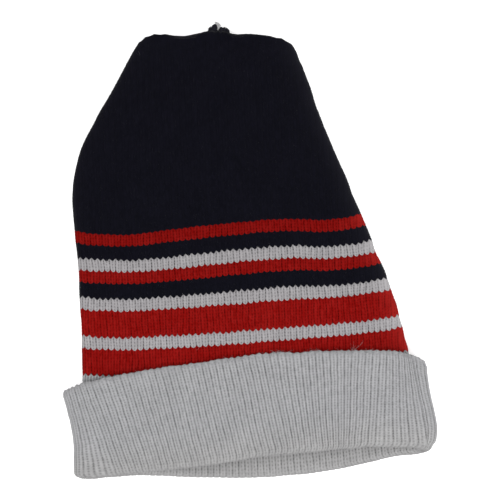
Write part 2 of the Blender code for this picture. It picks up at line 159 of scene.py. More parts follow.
# How far the dressed tube's sides lie to the right of the plain solid's
TRIMS = fine_table(TENTHS, "place left right",
    (0, 1, 2), (300, 2, 8), (500, 5, 6), (800, 6, 9), (1000, 4, 5), (1300, 2, 2), (1900, 0, 4),
    (2400, 3, 9), (2900, 1, 6), (3600, 8, 8), (4100, 10, 11), (4400, 11, 16), (4600, 10, 16), (5100, 7, 7),
    (5800, 4, 7), (6400, 8, 4), (6850, 10, -4), (7200, 9, 3), (7500, 6, 4), (7750, 5, -1), (8200, 6, 1),
    (8650, 11, 8), (9000, 11, 4), (9250, 9, 8), (9600, 7, 3), (10000, 9, 0),
)
# Shallow dents of the upper side, in shares of the hat's length, half width and height
DENTS = table("place across slant reach spread depth",
    (0.905, 0.655, 0.05, 0.06, 0.09, 0.11),
    (0.24, -0.85, -0.07, 0.1, 0.045, 0.1),
    (0.028, -0.168, 0.0, 0.03, 0.13, 0.09),
    (0.56, 0.56, 0.1, 0.16, 0.11, 0.04),
    (0.42, -0.3, 0.15, 0.12, 0.16, 0.035),
)
# A cut through the tube: how far from the crown its front and back are, its middle and half width, the
# heights between which it lies, the radius of its side folds, and its bends
Station = namedtuple("Station", "front back middle half under top edge bend_front bend_back")

# The cuff's free edge: how far down the outer band it starts, and its own wave, by the place across
BAND_START = 0.968
RIM_ANGLES = (-60, -25, 10, 45, 72)
BACK_EDGE_DROP = 0.0006  # at the right the back's edge hides behind the front's
EDGE_WAVES = fine_table(TENTHS, "x rise",
    (-1062, -3), (-984, 4), (-924, -6), (-864, 1), (-804, -4), (-744, -2), (-564, -1), (-444, -8),
    (-264, -12), (-204, -4), (-144, -4), (-84, -6), (-24, 1), (36, 5), (96, 4), (156, 10), (216, 6),
    (276, -3), (366, 3), (486, -3), (636, -4), (756, -5), (816, -1), (876, -3), (936, -11), (985, -15),
    (1050, -13),
)

# How the cuff's fold waves, in front and at the back: how much higher it lies, by the place across
MOUTH_WAVES = fine_table(TENTHS, "x front back",
    (-1044, 0, -4), (-1020, 0, -8), (-972, 0, -12), (-924, 0, -10), (-876, 0, -3), (-804, 0, -1),
    (-732, 0, 4), (-636, 0, 6), (-588, 0, 4), (-492, 0, 2), (-396, 0, -2), (-300, -2, -4), (-204, 0, -4),
    (-108, 2, -7), (0, 10, -7), (60, 14, -4), (132, 13, -6), (192, 13, -4), (252, 4, -5), (324, 3, -9),
    (432, -5, -11), (540, -5, -10), (612, -8, -8), (660, -4, -3), (708, 3, 1), (756, 1, 5), (804, 0, 11),
    (876, 0, 14), (924, 0, 11), (972, 0, 4), (1020, 0, -2), (1092, 0, -4),
)

# How much higher than plain ones some courses of the tube lie, at the places across in RIPPLE_X
RIPPLE_X = np.array((-960, -750, -540, -270, -60, 120, 270, 450, 600, 900)) / TENTHS
RIPPLE_COURSES = (38, 62, 71, 80, 86, 97, 107)
RIPPLES = np.array((
    (0, 0, 0, 0, 0, 0, 0, 0, 0, 0),
    (-4, -1, 4, -5, -1, 7, 3, -11, -4, 0),
    (-1, -2, 0, -1, 5, 10, 11, -6, -5, 0),
    (-7, -7, -1, -5, -1, 7, 11, 0, -4, -2),
    (-7, -6, 0, -6, -7, 2, 5, 5, 4, 0),
    (-3, -2, 6, -2, -6, -4, -3, -2, -3, -3),
    (0, 0, 0, 0, 0, 0, 0, 0, 0, 0),
)) / TENTHS

# How the ribs of the cuff run. wale: number of the furrow from the left edge. place: where it lies, as
# a share of the mouth's width from its middle. level: at which share of the cuff's height that is.
# lean: how far it moves to the right for each unit of length towards the fold.
RIB_FLOW = table("wale place level lean",
    (2, -0.47, 0.66, 0.25), (6, -0.393, 0.62, 0.31), (11, -0.292, 0.57, 0.27), (16, -0.197, 0.52, 0.25),
    (21, -0.102, 0.47, 0.22), (26, -0.008, 0.43, 0.21), (31, 0.087, 0.4, 0.19), (36, 0.18, 0.37, 0.11),
    (41, 0.267, 0.36, 0.01), (44, 0.318, 0.35, -0.04), (47, 0.376, 0.33, -0.05), (49, 0.421, 0.33, 0.0),
    (51, 0.462, 0.36, 0.05), (53, 0.502, 0.39, 0.16),
)
TUBE_LEAN = 0.05  # the same lean for the columns of stitches in the tube

# Relief of the knit, in metres: between two wales, down a wale's middle, and where two courses meet.
# reach: height of a stitch's V, in courses
Relief = namedtuple("Relief", "furrow centre bead reach")
SMOOTH = Relief(0.0008, 0.00075, 0.00016, 1.0)
FINE = Relief(0.00045, 0.0004, 0.00012, 1.0)
RIBBED = Relief(0.00115, 0.0008, 0.00018, 0.45)
PROUD = 0.0005  # the highest stitches stand this far out of the plain solids
# Share of the zigzag's height that shows along the tube: next to red, dark yarn hides most of it
REACHES = table("course share",
    (0, 0.0), (3, 0.1), (14, 1.0), (56, 1.0), (60, 0.55), (64, 0.55), (69, 1.0), (73, 0.8), (77, 0.55),
    (82, 1.0), (86, 0.8), (95, 1.0), (99, 0.8), (107, 1.0),
)

# Each yarn's lightest and darkest colour, how much painted shade darkens its furrows and holes, its sheen
# and gloss, the lighter colour of the painted sheen along its side folds, and how much less blue it is
# towards the mouth
Yarn = namedtuple("Yarn", "light dark furrow hole sheen gloss worn aged", defaults=((0.3, 0.3, 0.3), 0.0))
YARNS = {
    "navy_yarn": Yarn((0.0031, 0.003, 0.0062), (0.0013, 0.0013, 0.003), 0.1, 0.1, 0.07, 0.026,
                      (0.0088, 0.0086, 0.012)),
    "red_yarn": Yarn((0.219, 0.0074, 0.0064), (0.138, 0.0014, 0.001), 0.52, 0.36, 0.0, 0.01,
                     (0.262, 0.014, 0.012)),
    "white_yarn": Yarn((0.318, 0.305, 0.312), (0.236, 0.226, 0.233), 0.6, 0.36, 0.03, 0.1,
                       (0.33, 0.318, 0.325)),
    "cuff_yarn": Yarn((0.304, 0.304, 0.311), (0.224, 0.224, 0.231), 0.5, 0.4, 0.03, 0.1, aged=0.035),
    "pale_yarn": Yarn((0.36, 0.358, 0.362), (0.23, 0.228, 0.232), 0.3, 0.2, 0.03, 0.1),
    # the fuzz: the cuff's yarn painted lighter, painted light for the light the fuzz on the free edge
    # catches
    "fuzz": Yarn((0.38, 0.38, 0.386), (0.29, 0.29, 0.296), 0.2, 0.2, 0.03, 0.1),
    # the tuft: the navy yarn painted lighter, painted light for the light that its lobes catch
    "tuft": Yarn((0.012, 0.0115, 0.017), (0.005, 0.0048, 0.0085), 0.3, 0.3, 0.04, 0.06),
}


def ease(knots, values, at):
    """Smooth curve through the values, with no overshoot, level beyond the last knots."""
    knots = np.asarray(knots, dtype=float)
    values = np.asarray(values, dtype=float)
    at = np.clip(at, knots[0], knots[-1])
    steps = np.diff(knots)
    rates = np.diff(values) / steps
    slopes = np.zeros(len(knots))
    same_way = rates[:-1] * rates[1:] > 0
    sums = rates[:-1] + rates[1:]
    slopes[1:-1][same_way] = (2 * rates[:-1] * rates[1:] / np.where(sums == 0, 1, sums))[same_way]
    slopes[0] = rates[0]
    slopes[-1] = rates[-1]
    cell = np.clip(np.searchsorted(knots, at, side="right") - 1, 0, len(steps) - 1)
    width = steps[cell]
    t = (at - knots[cell]) / width
    rise = t * t * (3 - 2 * t)
    return (values[cell] * (1 - rise) + values[cell + 1] * rise
            + slopes[cell] * width * t * (1 - t) ** 2 - slopes[cell + 1] * width * t * t * (1 - t))


def read(rows, name, at):
    """The smooth curve through one column of a table over its first."""
    return ease([row[0] for row in rows], [getattr(row, name) for row in rows], at)


def blend(knots, lines, at):
    """The smooth curves through each column of many lines of numbers."""
    return np.array([ease(knots, values, at) for values in np.transpose(lines)])


def bends_of(row):
    """The bends at the places of ACROSS, in metres, from the last six values of a course or hem."""
    return np.array((*row[-6:-3], 0.0, *row[-3:])) * TUBE_WIDTH


def tube_bends(place):
    """The bends of the tube's course at a share of its length."""
    places = [row.place for row in TUBE_COURSES]
    return blend(places, [bends_of(row) for row in TUBE_COURSES], place)


def side_places(distance):
    """Places of the tube's left and right side."""
    place = min(distance, TUBE_LENGTH) / TUBE_LENGTH
    middle = read(TUBE_COURSES, "drift", place) * TUBE_WIDTH
    half = (CROWN_WIDTH + (TUBE_WIDTH - CROWN_WIDTH) * read(TUBE_COURSES, "spread", place)) / 2
    run = max(0.0, distance - TUBE_LENGTH) / RUN_LENGTH
    half += (MOUTH_WIDTH / 2 - PLY - half) * run
    middle += MOUTH_DRIFT * TUBE_WIDTH * run
    return middle - half + read(TRIMS, "left", place), middle + half + read(TRIMS, "right", place)


def cut(front, back, sides, under, top, edge, bend_front, bend_back):
    """A station, at whose sides the back lies level with the front."""
    left, right = sides
    bend_back[[0, -1]] = bend_front[[0, -1]] - (back - front)
    return Station(front, back, (left + right) / 2, (right - left) / 2, under, top, edge,
                   bend_front, bend_back)


def tube_station(distance):
    """The cut through the stripes and the crown. Near the cuff the back is off the surface."""
    under = ease((0.0, TUBE_LENGTH - DROP_LENGTH, TUBE_LENGTH), (0.0, 0.0, PLY), distance)
    settle = MOUTH - CUFF_HEIGHT - CUFF_LEAD
    top = ease((0.0, 0.45 * settle, 0.8 * settle, settle),
               (CROWN_LOFT, 0.85 * TUBE_LOFT, TUBE_LOFT, CUFF_LOFT - PLY), distance)
    bend = tube_bends(distance / TUBE_LENGTH)
    return cut(distance, distance, side_places(distance), under, top, KNIT_WALL + FOLD_HOLLOW, bend, bend)


def run_station(share):
    """The cut through the cuff's inner run: 0 is the lowest stripe and 1 the fold."""
    start = TUBE_LENGTH + SEAM_GAP
    front = start + (MOUTH - FOLD_ROUND - start) * share
    back = start + (MOUTH + MOUTH_STEP - FOLD_ROUND - start) * share
    upper = tube_bends(1.0)
    return cut(front, back, side_places(front), PLY, CUFF_LOFT - PLY, RIB_WALL + FOLD_HOLLOW,
               upper + (bends_of(FOLD_FRONT) - upper) * share, upper + (bends_of(FOLD_BACK) - upper) * share)


def band_station(share):
    """The cut through the cuff's outer band: 0 is the fold and 1 the solid's free edge."""
    fold = MOUTH - FOLD_ROUND
    front = fold - (CUFF_HEIGHT - FOLD_ROUND) * share
    back = fold + MOUTH_STEP - (CUFF_HEIGHT - MOUTH_STEP - FOLD_ROUND) * share
    left, right = side_places(front)
    left -= PLY + CUFF_FLARE * read(FLARES, "left", share)
    right += PLY + CUFF_FLARE * read(FLARES, "right", share)
    bends = [bends_of(low) + (bends_of(high) - bends_of(low)) * share
             for low, high in ((FOLD_FRONT, EDGE_FRONT), (FOLD_BACK, EDGE_BACK))]
    return cut(front, back, (left, right), 0.0, CUFF_LOFT, RIB_WALL + FOLD_HOLLOW + PLY, *bends)


def dent_depth(x, distance):
    """How deep the dents are, as a share of the swell."""
    depth = np.zeros_like(x)
    for dent in DENTS:
        along = (distance / MOUTH - dent.place) / dent.reach
        aside = (2 * x / TUBE_WIDTH - dent.across - dent.slant * along) / dent.spread
        depth += dent.depth * np.exp(-along * along - aside * aside)
    return depth


def measures(station):
    """Half width of a ring's flat part, quarter of its side folds, and way over the front."""
    core = station.half - station.edge
    quarter = math.pi / 2 * station.edge
    return core, quarter, 2 * quarter + 2 * core


def ring(station, turns, inset):
    """Points round the flattened tube, the turns counted from the left edge over the front."""
    core, quarter, half_way = measures(station)
    turns = np.asarray(turns) % 1.0
    front = turns < 0.5
    walked = np.where(front, turns, 1.0 - turns) * 2 * half_way
    from_edge = np.minimum(walked, half_way - walked)
    side = np.where(walked < half_way / 2, -1.0, 1.0)
    angle = np.clip(from_edge / quarter, 0, 1) * math.pi / 2
    radius = station.edge - inset
    x = side * (core - np.maximum(from_edge - quarter, 0) + radius * np.cos(angle))
    rise = radius * np.sin(angle)
    inward = np.clip(1 - np.abs(x) / core, 0, 1)
    crown = (1 - (1 - inward) ** SWELL_EDGE) ** SWELL_TOP
    across = np.clip(x / station.half, -1, 1)
    bend = np.where(front, ease(ACROSS, station.bend_front, across), ease(ACROSS, station.bend_back, across))
    distance = np.where(front, station.front, station.back) + bend
    swell = (station.top - station.under - 2 * station.edge) * crown
    swell -= (station.top - station.under) * crown * dent_depth(x + station.middle, distance)
    z = station.under + station.edge + np.where(front, rise + swell, -rise)
    return np.stack([x + station.middle, -distance, z], axis=1)


def turns_at(station, x):
    """Turns at which the front of a ring passes the places x."""
    core, quarter, half_way = measures(station)
    aside = x - station.middle
    angle = np.arccos(np.clip((np.abs(aside) - core) / station.edge, 0, 1))
    flat = quarter + core - np.abs(aside)
    from_edge = np.where(np.abs(aside) < core, flat, station.edge * angle)
    return np.where(aside < 0, from_edge, half_way - from_edge) / (2 * half_way)


def smooth_step(low, high, at):
    """0 below low, 1 above high, and smooth between."""
    t = np.clip((at - low) / (high - low), 0, 1)
    return t * t * (3 - 2 * t)


def wander(turns, along, seed, most, pace):
    """Smooth wavering of unit strength: up to most waves round, pace courses along."""
    rng = np.random.default_rng(seed)
    total = np.zeros(np.broadcast(turns, along).shape)
    for _ in range(7):
        waves = rng.integers(1, most + 1) * rng.choice((-1, 1))
        rise = rng.uniform(0.3, 1.0) / pace
        total += np.sin(2 * math.pi * (waves * turns + rise * along) + rng.uniform(0, 2 * math.pi))
    return total / math.sqrt(3.5)


def lumps(turns, v):
    """Soft unevenness of the fabric, in metres, at least 0."""
    slow = 0.7 * wander(turns, v, 5, 9, 26.0) + 0.3 * wander(turns, v, 6, 40, 7.0)
    return LUMP_DEPTH * np.maximum(0.0, 1.5 + slow)


def stitch_depth(wales, v, relief):
    """How far the knit lies below its strands' crests at each wale, on course v."""
    side = wales % 1.0
    leg = 1 - np.abs(2 * side - 1)
    step = v % 1.0
    outer = np.clip(leg / 0.46, 0, 1)
    inner = np.clip((1 - leg) / 0.54, 0, 1)
    hole = math.exp(-((step - 0.45) / 0.25) ** 2)
    joint = 0.5 + 0.5 * math.cos(2 * math.pi * step)
    furrow = 1 - np.sqrt(1 - (1 - outer) ** 2)
    centre = 1 - np.sqrt(1 - (1 - inner) ** 2)
    return (
        relief.furrow * (0.9 + 0.1 * joint) * furrow
        + relief.centre * (0.45 + 0.55 * hole) * centre
        + relief.bead * joint
    )


# One row of the mesh: its points, the wale that each lies on, the course, and how strong the relief is
Row = namedtuple("Row", "points wales course strength")


def zigzag(wales):
    """How high on its stitch's V a point lies: 0 in the middle of a wale, 1 at its sides."""
    return np.abs(2 * (wales % 1.0) - 1) ** 1.8


def knit_row(place, turns, wales, v, relief, strength=1.0, sunk=0.0, share=1.0):
    """A row along the zigzag of the stitches on course v."""
    depth = stitch_depth(wales, v, relief) * strength + lumps(turns, v) + sunk - PROUD
    peak = zigzag(wales) - 0.09 * wander(turns, v, 21, 50, 5.0)
    low = place(v + relief.reach * share / 2, turns, depth)
    high = place(v - relief.reach * share / 2, turns, depth)
    points = low + (high - low) * peak[:, None] + SHIFT
    points[:, 2] = np.maximum(points[:, 2], 0.0)
    return Row(points, wales, v, strength)


def plain_row(place, turns, wales, v, inset, reach=1.0):
    """A row of the inside, which has no relief but meets the zigzag of the rim."""
    low = place(v + reach / 2, turns, inset)
    high = place(v - reach / 2, turns, inset)
    return Row(low + (high - low) * zigzag(wales)[:, None] + SHIFT, wales, v, 0.0)


def columns(front, back):
    """Turns of the mesh's columns, so many for each wale in front and at the back."""
    half = WALES // 2
    share = 0.5 / half
    return np.concatenate([np.arange(half * front) / front * share,
                           0.5 + np.arange(half * back) / back * share])


def ripple(points, turns, v):
    """Shift of a course of the tube's upper side, from the table of ripples."""
    rises = blend(RIPPLE_COURSES, RIPPLES, v)
    from_side = np.minimum(turns % 1.0, 0.5 - turns % 1.0)
    return ease(RIPPLE_X, rises, points[:, 0] + SHIFT[0]) * smooth_step(0.0, 0.03, from_side)


def tube_place(v, turns, inset):
    """Points of the tube on course v, counted from the crown's end."""
    points = ring(tube_station(v * ROW_HEIGHT), turns, inset)
    points[:, 1] += ripple(points, turns, v)
    return points


def tube_wales(v, turns):
    """The wales of a course: upright columns of one width, which the tube's sides cut off."""
    distance = v * ROW_HEIGHT
    station = tube_station(distance)
    end = tube_station(TUBE_LENGTH)
    pitch = measures(end)[2] / (WALES // 2)
    front = turns < 0.5
    walked = (np.where(front, turns, 1 - turns) * 2 - 0.5) * measures(station)[2]
    aside = walked + station.middle - end.middle + TUBE_LEAN * (TUBE_LENGTH - distance)
    return np.where(front, WALES / 4 + aside / pitch, WALES * 3 / 4 - aside / pitch)


def side_groove(v, turns):
    """The line down each side of the crown, where the narrowing wales end."""
    from_side = np.minimum(turns % 0.5, 0.5 - turns % 0.5) * WALES
    share = 1 - smooth_step(40.0, 62.0, v)
    return GROOVE_DEPTH * share * np.exp(-(from_side / 0.35) ** 2)


def tube_row(turns, v, relief, strength=1.0, sunk=0.0):
    """A row of the tube's outside."""
    wobble = 0.05 * wander(turns, v, 11, 12, 15.0) + 0.03 * wander(turns, v, 12, 40, 5.0)
    wales = tube_wales(v, turns) + wobble
    sunk = sunk + side_groove(v, turns)
    return knit_row(tube_place, turns, wales, v, relief, strength, sunk, read(REACHES, "share", v))


def tube_inside(turns, v):
    """A row of the tube's inside."""
    inset = np.full(len(turns), KNIT_WALL)
    return plain_row(tube_place, turns, tube_wales(v, turns), v, inset, read(REACHES, "share", v))


def painted_sheen_amount(rows, on_left=0.0, first=0):
    """How much painted sheen lightens the points of a tube's rows, most at its right side."""
    x = np.array([row.points[:, 0] for row in rows])
    left = x.min(axis=1, keepdims=True)
    right = x.max(axis=1, keepdims=True)
    left[:first] = left[first]
    right[:first] = right[first]
    return on_left * np.exp((left - x) / PAINTED_SHEEN_REACH) + PAINTED_SHEEN_RIGHT * np.exp((x - right) / PAINTED_SHEEN_REACH)


def strip_object(name, rows, turns, yarn, capped=False, fades=0.0, painted_sheen_amounts=0.0):
    """A closed skin over the rows, with the stitches' coordinates for the material."""
    count = len(turns)
    total = len(rows)
    points = np.concatenate([row.points for row in rows])
    steps = np.arange(total - 1 if capped else total)
    first = np.arange(len(steps) * count).reshape(-1, count)
    after = np.roll(first, -1, axis=1)
    turn = total * count
    quads = np.stack([first, (first + count) % turn, (after + count) % turn, after], axis=2)
    faces = quads.reshape(-1, 4).tolist()
    if capped:
        faces.append(list(range(count)))
        faces.append(list(range(turn - 1, turn - count - 1, -1)))
    mesh = bpy.data.meshes.new(name)
    mesh.from_pydata(points.tolist(), [], faces)

    wales = np.array([row.wales for row in rows])
    ahead = np.roll(wales, -1, axis=1)
    stride = np.roll(wales, 1, axis=1)
    jump = np.abs(ahead - wales) > 0.6
    ahead = np.where(jump, 2 * wales - stride, ahead)
    course = np.array([row.course for row in rows])
    upper = (steps + 1) % total
    wide = np.stack([wales[steps], wales[upper], ahead[upper], ahead[steps]], axis=2)
    deep = np.stack([course[steps], course[upper], course[upper], course[steps]], axis=1)[:, None]
    bake_wide = (np.arange(count)[:, None] + (0, 0, 1, 1)) / count
    bake_deep = ((steps[:, None] + (0, 1, 1, 0)) / total)[:, None]
    rest = len(mesh.loops) - wide.size
    for title, across, along in (("stitch", wide, deep), ("OFBake", bake_wide, bake_deep)):
        layer = mesh.uv_layers.new(name=title)
        corners = np.stack(np.broadcast_arrays(across, along), axis=-1).reshape(-1, 2)
        corners = np.concatenate([corners, np.zeros((rest, 2))])
        layer.uv.foreach_set("vector", corners.reshape(-1).astype(np.float32))
    strengths = [np.broadcast_to(row.strength, count) for row in rows]
    for title, values in (("relief", strengths), ("fade", fades), ("worn", painted_sheen_amounts)):
        layer = mesh.attributes.new(title, "FLOAT", "POINT")
        values = np.broadcast_to(values, (total, count)).reshape(-1)
        layer.data.foreach_set("value", values.astype(np.float32))
    return finish_piece(name, mesh, yarn)


def put(name, data, place=(0.0, 0.0, 0.0)):
    """A new object in the scene."""
    thing = bpy.data.objects.new(name, data)
    thing.location = place
    bpy.context.scene.collection.objects.link(thing)
    return thing


def finish_piece(name, mesh, yarn):
    """A visible piece of one yarn, which rides on the hat's one body."""
    mesh.shade_smooth()
    mesh.validate()
    piece = put(name, mesh)
    mesh.materials.append(MATERIALS[yarn])
    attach(piece, "root")
    return piece


def unit(vectors):
    """The same vectors, each of length 1."""
    return vectors / np.maximum(np.linalg.norm(vectors, axis=-1, keepdims=True), 1e-12)


def skin_of(rows):
    """Points and outward directions of a patch of rows."""
    grid = np.array([row.points for row in rows])
    across = np.roll(grid, -1, axis=1) - np.roll(grid, 1, axis=1)
    along = np.gradient(grid, axis=0)
    return grid, unit(np.cross(along, across))


def knot_axis():
    """The point that the crown's end is gathered to."""
    station = tube_station(0.0)
    return np.array([station.middle + KNOT_ASIDE * TUBE_WIDTH, 0.0, station.top / 2])


def gathers(x, share):
    """Puckers of the gathered end, strongest beside the knot."""
    aside = x - knot_axis()[0]
    near = np.exp(-(aside / PUCKER_REACH) ** 2)
    wave = 0.5 + 0.5 * np.sin(2 * math.pi * x / PUCKER_PITCH + 1.3 * np.sin(2 * math.pi * x / 0.011))
    return (PUCKER_DEPTH * near + PUCKER_REST) * wave * share


# Height of the gathered end's outline against the plain solid, across the crown
END_LIFTS = fine_table(TENTHS, "across lift",
    (-10000, -14), (-9600, -4), (-9100, 15), (-8600, 13), (-8000, 20), (-7400, 9), (-6700, 8), (-5800, -5),
    (-4600, -14), (-3600, -17), (-2400, -4), (-1300, 8), (-600, 11), (1300, 5), (1700, -3), (2300, -13),
    (4700, -6), (5800, -7), (6800, -4), (8000, -3), (8500, 6), (9000, 1), (9500, 4), (10000, 0),
)


def end_row(share, turns, inside=False):
    """A ring of the gathered end: 1 is the last knitted course and 0 the knot."""
    fade = 0.0 if inside else smooth_step(0.8, 1.0, share)
    rim = tube_inside(turns, 0.0) if inside else tube_row(turns, 0.0, FINE, 0.5 * fade)
    depth = KNIT_WALL if inside else -PROUD
    axis = knot_axis()
    station = tube_station(0.0)
    points = axis + (rim.points - SHIFT - axis) * np.array([share, share, share ** 0.5])
    beside = np.abs(rim.points[:, 0] - SHIFT[0] - station.middle) / station.half
    round_off = END_POWER - END_SOFTER * smooth_step(0.7, 1.0, beside)
    points[:, 1] += (CROWN_ROUND - depth) * (1 - share ** round_off) ** (1 / round_off)
    if not inside:
        across = (points[:, 0] - station.middle) / station.half
        rise = smooth_step(1.0, 0.93, share)
        points[:, 1] += read(END_LIFTS, "lift", across) * rise
        points[:, 1] -= gathers(points[:, 0], rise)
    return Row(points + SHIFT, rim.wales, 3 * (share - 1), 0.5 * fade)


def make_crown():
    """The navy top, from the knot over the gathered end down to the first red course."""
    turns = columns(6, 3)
    rows = [end_row(share, turns) for share in END_RINGS]
    outer = []
    for v in np.arange(0, 3 * BANDS[0].rows + 1) / 3:
        x = tube_place(v, turns, 0.0)[:, 0]
        strength = 0.5 + 0.5 * smooth_step(0.0, 12.0, v)
        outer.append(tube_row(turns, v, FINE, strength, 0.8 * gathers(x, math.exp(-v / 3.5))))
    rows += outer
    rows += [tube_inside(turns, v) for v in (BANDS[0].rows, 0.5 * BANDS[0].rows, 0)]
    rows += [end_row(share, turns, inside=True) for share in (0.8, 0.15)]
    piece = strip_object("crown_knit", rows, turns, "navy_yarn", capped=True,
                         painted_sheen_amounts=painted_sheen_amount(rows, PAINTED_SHEEN_LEFT, len(END_RINGS)))
    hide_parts("crown_navy")
    return skin_of(outer)


def make_stripe(band, start):
    """A knitted band, which starts on a course of the tube."""
    turns = columns(8, 4)
    relief = FINE if band.yarn == "navy_yarn" else SMOOTH
    outer = [tube_row(turns, v, relief) for v in start + np.arange(0, 3 * band.rows + 1) / 3]
    inner = [tube_inside(turns, v) for v in (start + band.rows, start)]
    rows = outer + inner
    piece = strip_object(band.name + "_knit", rows, turns, band.yarn, fades=band.fade, painted_sheen_amounts=painted_sheen_amount(rows))
    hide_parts(band.name)
    return skin_of(outer)


def rib_turns(u, share):
    """Turns of the cuff's wales: 0 is the fold and 1 the free edge of the outer band."""
    place = read(RIB_FLOW, "place", u) * MOUTH_WIDTH
    x = place + read(RIB_FLOW, "lean", u) * (read(RIB_FLOW, "level", u) - share) * CUFF_HEIGHT
    even = u / WALES
    weight = smooth_step(0.5, 5.0, u) * (1 - smooth_step(52.5, 55.5, u))
    return even + (turns_at(band_station(share), x) - even) * weight


def cuff_turns(u, v):
    """Turns of the cuff's wales on course v."""
    even = u / WALES
    wobble = 0.03 * wander(even, v, 13, 12, 20.0) + 0.012 * wander(even, v, 14, 40, 5.0)
    if v <= BAND_ROWS:
        flow = rib_turns(u, BAND_START * (1 - max(v, 0.0) / BAND_ROWS))
    else:
        share = 1 - max(0.0, v - RUN_START) / RUN_ROWS
        flow = even + (rib_turns(u, 0.0) - even) * share
    return flow + wobble / WALES


def edge_wave(x, turns, v):
    """Shift of the cuff's free edge, which fades away down the band."""
    front = read(EDGE_WAVES, "rise", x)
    back = (front - BACK_EDGE_DROP) * smooth_step(0.07, 0.086, x)
    return np.where(turns % 1.0 < 0.5, front, back) * math.exp(-max(v, 0.0) / 6.0)


def mouth_wave(x, turns, v):
    """Shift of the fold at the mouth, which fades away up the band and up the inner run."""
    front = turns % 1.0 < 0.5
    rise = np.where(front, read(MOUTH_WAVES, "front", x), read(MOUTH_WAVES, "back", x))
    from_side = np.minimum(turns % 0.5, 0.5 - turns % 0.5)
    return rise * math.exp(-((v - MOUTH_ROW) / 8.0) ** 2) * smooth_step(0.0, 0.012, from_side)


def cuff_place(v, turns, depth):
    """Points of the cuff. v counts courses from the free edge, over the fold, up the inner run."""
    points = plain_cuff_place(v, turns, depth)
    x = points[:, 0] + SHIFT[0]
    points[:, 1] += edge_wave(x, turns, v)
    points[:, 1] += mouth_wave(x, turns, v)
    return points


def plain_cuff_place(v, turns, depth):
    """The same without the waves of the edge and the fold."""
    if v <= BAND_ROWS:
        return ring(band_station(BAND_START * (1 - v / BAND_ROWS)), turns, depth)
    if v < RUN_START:
        angle = math.pi * (v - BAND_ROWS) / FOLD_ROWS
        outward = ring(band_station(0.0), turns, depth)
        inside = ring(run_station(1.0), turns, RIB_WALL - depth)
        points = (outward + inside) / 2 + (outward - inside) / 2 * math.cos(angle)
        points[:, 1] -= (FOLD_ROUND - depth) * math.sin(angle)
        return points
    share = 1 - (v - RUN_START) / RUN_ROWS
    return ring(run_station(share), turns, RIB_WALL - depth)


def run_outer_place(v, turns, depth):
    """Points of the inner run's other side, between it and the outer band."""
    return ring(run_station(v / RUN_ROWS - SEAM_GAP / RUN_LENGTH), turns, depth)


def rim_rows(u):
    """The cuff's free edge, rounded over from the inside, with uneven loops."""
    rows = []
    crest = 0.5 - 0.5 * np.cos(2 * math.pi * u)
    for angle in RIM_ANGLES:
        turn = math.radians(angle)
        tufts = 0.5 + 0.3 * wander(u / WALES, 0.0, 31, 50, 5.0)
        tufts += 0.4 * wander(u / WALES, angle, 32, 150, 90.0)
        inset = RIB_WALL / 2 * (1 - math.sin(turn)) + 0.0002
        inset = inset + 0.0007 * (1 - crest) * max(0.0, math.sin(turn))
        points = cuff_place(0.0, cuff_turns(u, 0.0), inset) + SHIFT
        points[:, 1] += RIB_WALL / 2 * math.cos(turn) * (0.48 + 0.42 * crest + 0.3 * tufts)
        points[:, 2] = np.maximum(points[:, 2], 0.0)
        rows.append(Row(points, u, -0.8 * math.cos(turn), 0.5))
    return rows


def rib_strength(u, v):
    """Relief of the rib, softer at the free edge, on the fold and at the front's right."""
    fade = smooth_step(0.0, 2.6, v)
    bend = math.exp(-((v - MOUTH_ROW) / 3.0) ** 2)
    tip = math.exp(-((v - MOUTH_ROW) / 1.5) ** 2)
    inside = smooth_step(BAND_ROWS + 2.0, RUN_START + 1.0, v)
    strength = (0.6 + 0.4 * fade) * (1 - 0.25 * bend) * (1 - 0.5 * tip) * (1 + 0.05 * inside)
    return strength * (1 - 0.12 * smooth_step(37.0, 48.0, u) * (u < 56.5)), fade


def make_cuff():
    """The cuff: free edge, outer band, fold, inner run, and back between the two."""
    u = columns(8, 5) * WALES
    turns = u / WALES
    rows = rim_rows(u)
    rim = len(rows)
    places = np.concatenate([
        np.arange(0, 2 * BAND_ROWS) / 2 + 0.2, BAND_ROWS + np.arange(0, 2 * FOLD_ROWS) / 2 + 0.2,
        RUN_START + np.arange(0, 21) / 2 + 0.2, np.linspace(RUN_START + 13, RUN_START + RUN_ROWS, 4)])
    for v in places:
        strength, fade = rib_strength(u, v)
        rows.append(knit_row(cuff_place, cuff_turns(u, v), u, v, RIBBED, strength, 0.0004 * (1 - fade) ** 2))
    outer = rows[rim:rim + 2 * BAND_ROWS + 12]
    rows += [knit_row(run_outer_place, turns, u, v, SMOOTH) for v in np.arange(0, 16) / 2]
    for v in (10.0, RUN_ROWS):
        rows.append(Row(run_outer_place(v, turns, np.full(len(u), 0.0003)) + SHIFT, u, v, 0.0))
    for share in (0.0, 0.2, 0.5, BAND_START):
        points = ring(band_station(share), turns, np.full(len(u), RIB_WALL)) + SHIFT
        rows.append(Row(points, u, 0.0, 0.0))
    fades = np.zeros((len(rows), 1))
    knitted = slice(rim, rim + len(places))
    # Painted shade along the tip of the fold
    fades[knitted, 0] = FOLD_PAINTED_SHADE * np.exp(-((places - MOUTH_ROW) / 1.7) ** 2)
    # Painted light on the inside of the fold, which the fold shades
    fades[knitted, 0] -= INSIDE_PAINTED_LIGHT * smooth_step(BAND_ROWS + 2.0, RUN_START, places)
    piece = strip_object("cuff_knit", rows, turns, "cuff_yarn", fades=fades)
    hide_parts("cuff_rib")
    return skin_of(outer)


def wire(links, node, inputs):
    """Links a node's inputs to other nodes' outputs, or sets their values."""
    for key, value in inputs.items():
        if isinstance(value, bpy.types.NodeSocket):
            links.new(value, node.inputs[key])
        else:
            node.inputs[key].default_value = value


